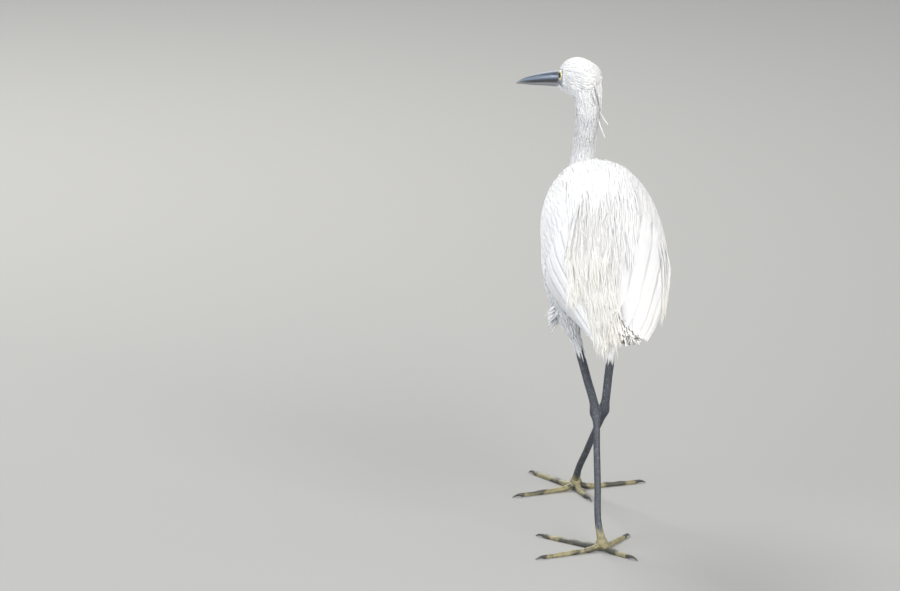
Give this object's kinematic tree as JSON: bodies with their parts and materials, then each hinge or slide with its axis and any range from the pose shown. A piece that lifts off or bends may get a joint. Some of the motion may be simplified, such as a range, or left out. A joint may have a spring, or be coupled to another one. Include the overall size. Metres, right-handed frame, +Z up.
{
  "type": "little egret",
  "caption": "Life-size white egret walking with its neck raised and its head turned left, with a slim dark bill, long back plumes, black legs and yellow feet.",
  "frame": {"origin": "on the floor, below the middle of the whole model's box", "axes": "+Y is the way the body faces and walks, +X is the bird's right, +Z is up"},
  "size_m": [0.1239, 0.3875, 0.347],
  "materials": {
    "white_feathers": "soft matt white feathers, smooth over the wings",
    "loose_plumes": "matt cream-white hair-like plumes",
    "bill_horn": "blue-black horn with a low shine, paler at the base of the lower half",
    "claw_horn": "dark horn, half matt",
    "eye": "wet-looking, yellow iris round a black pupil",
    "leg_skin": "blue-black scaled skin, half matt",
    "foot_skin": "olive-yellow scaled skin with dark patches"
  },
  "bodies": {
    "root": {"torso": "white_feathers", "neck_lower": "white_feathers", "neck_middle": "white_feathers", "neck_upper": "white_feathers", "head": "white_feathers", "thigh_left": "white_feathers", "thigh_right": "white_feathers", "wing_left": "white_feathers", "wing_right": "white_feathers", "tail": "white_feathers", "mantle": "loose_plumes", "bill_upper": "bill_horn", "bill_lower": "bill_horn", "eye_left": "eye", "shank_left": "leg_skin", "tarsus_left": "leg_skin", "foot_left": "foot_skin", "toe_left_middle": "foot_skin", "claw_left_middle": "claw_horn", "toe_left_inner": "foot_skin", "claw_left_inner": "claw_horn", "toe_left_outer": "foot_skin", "claw_left_outer": "claw_horn", "toe_left_hind": "foot_skin", "claw_left_hind": "claw_horn", "eye_right": "eye", "shank_right": "leg_skin", "tarsus_right": "leg_skin", "foot_right": "foot_skin", "toe_right_middle": "foot_skin", "claw_right_middle": "claw_horn", "toe_right_inner": "foot_skin", "claw_right_inner": "claw_horn", "toe_right_outer": "foot_skin", "claw_right_outer": "claw_horn", "toe_right_hind": "foot_skin", "claw_right_hind": "claw_horn"}
  },
  "joints": []
}
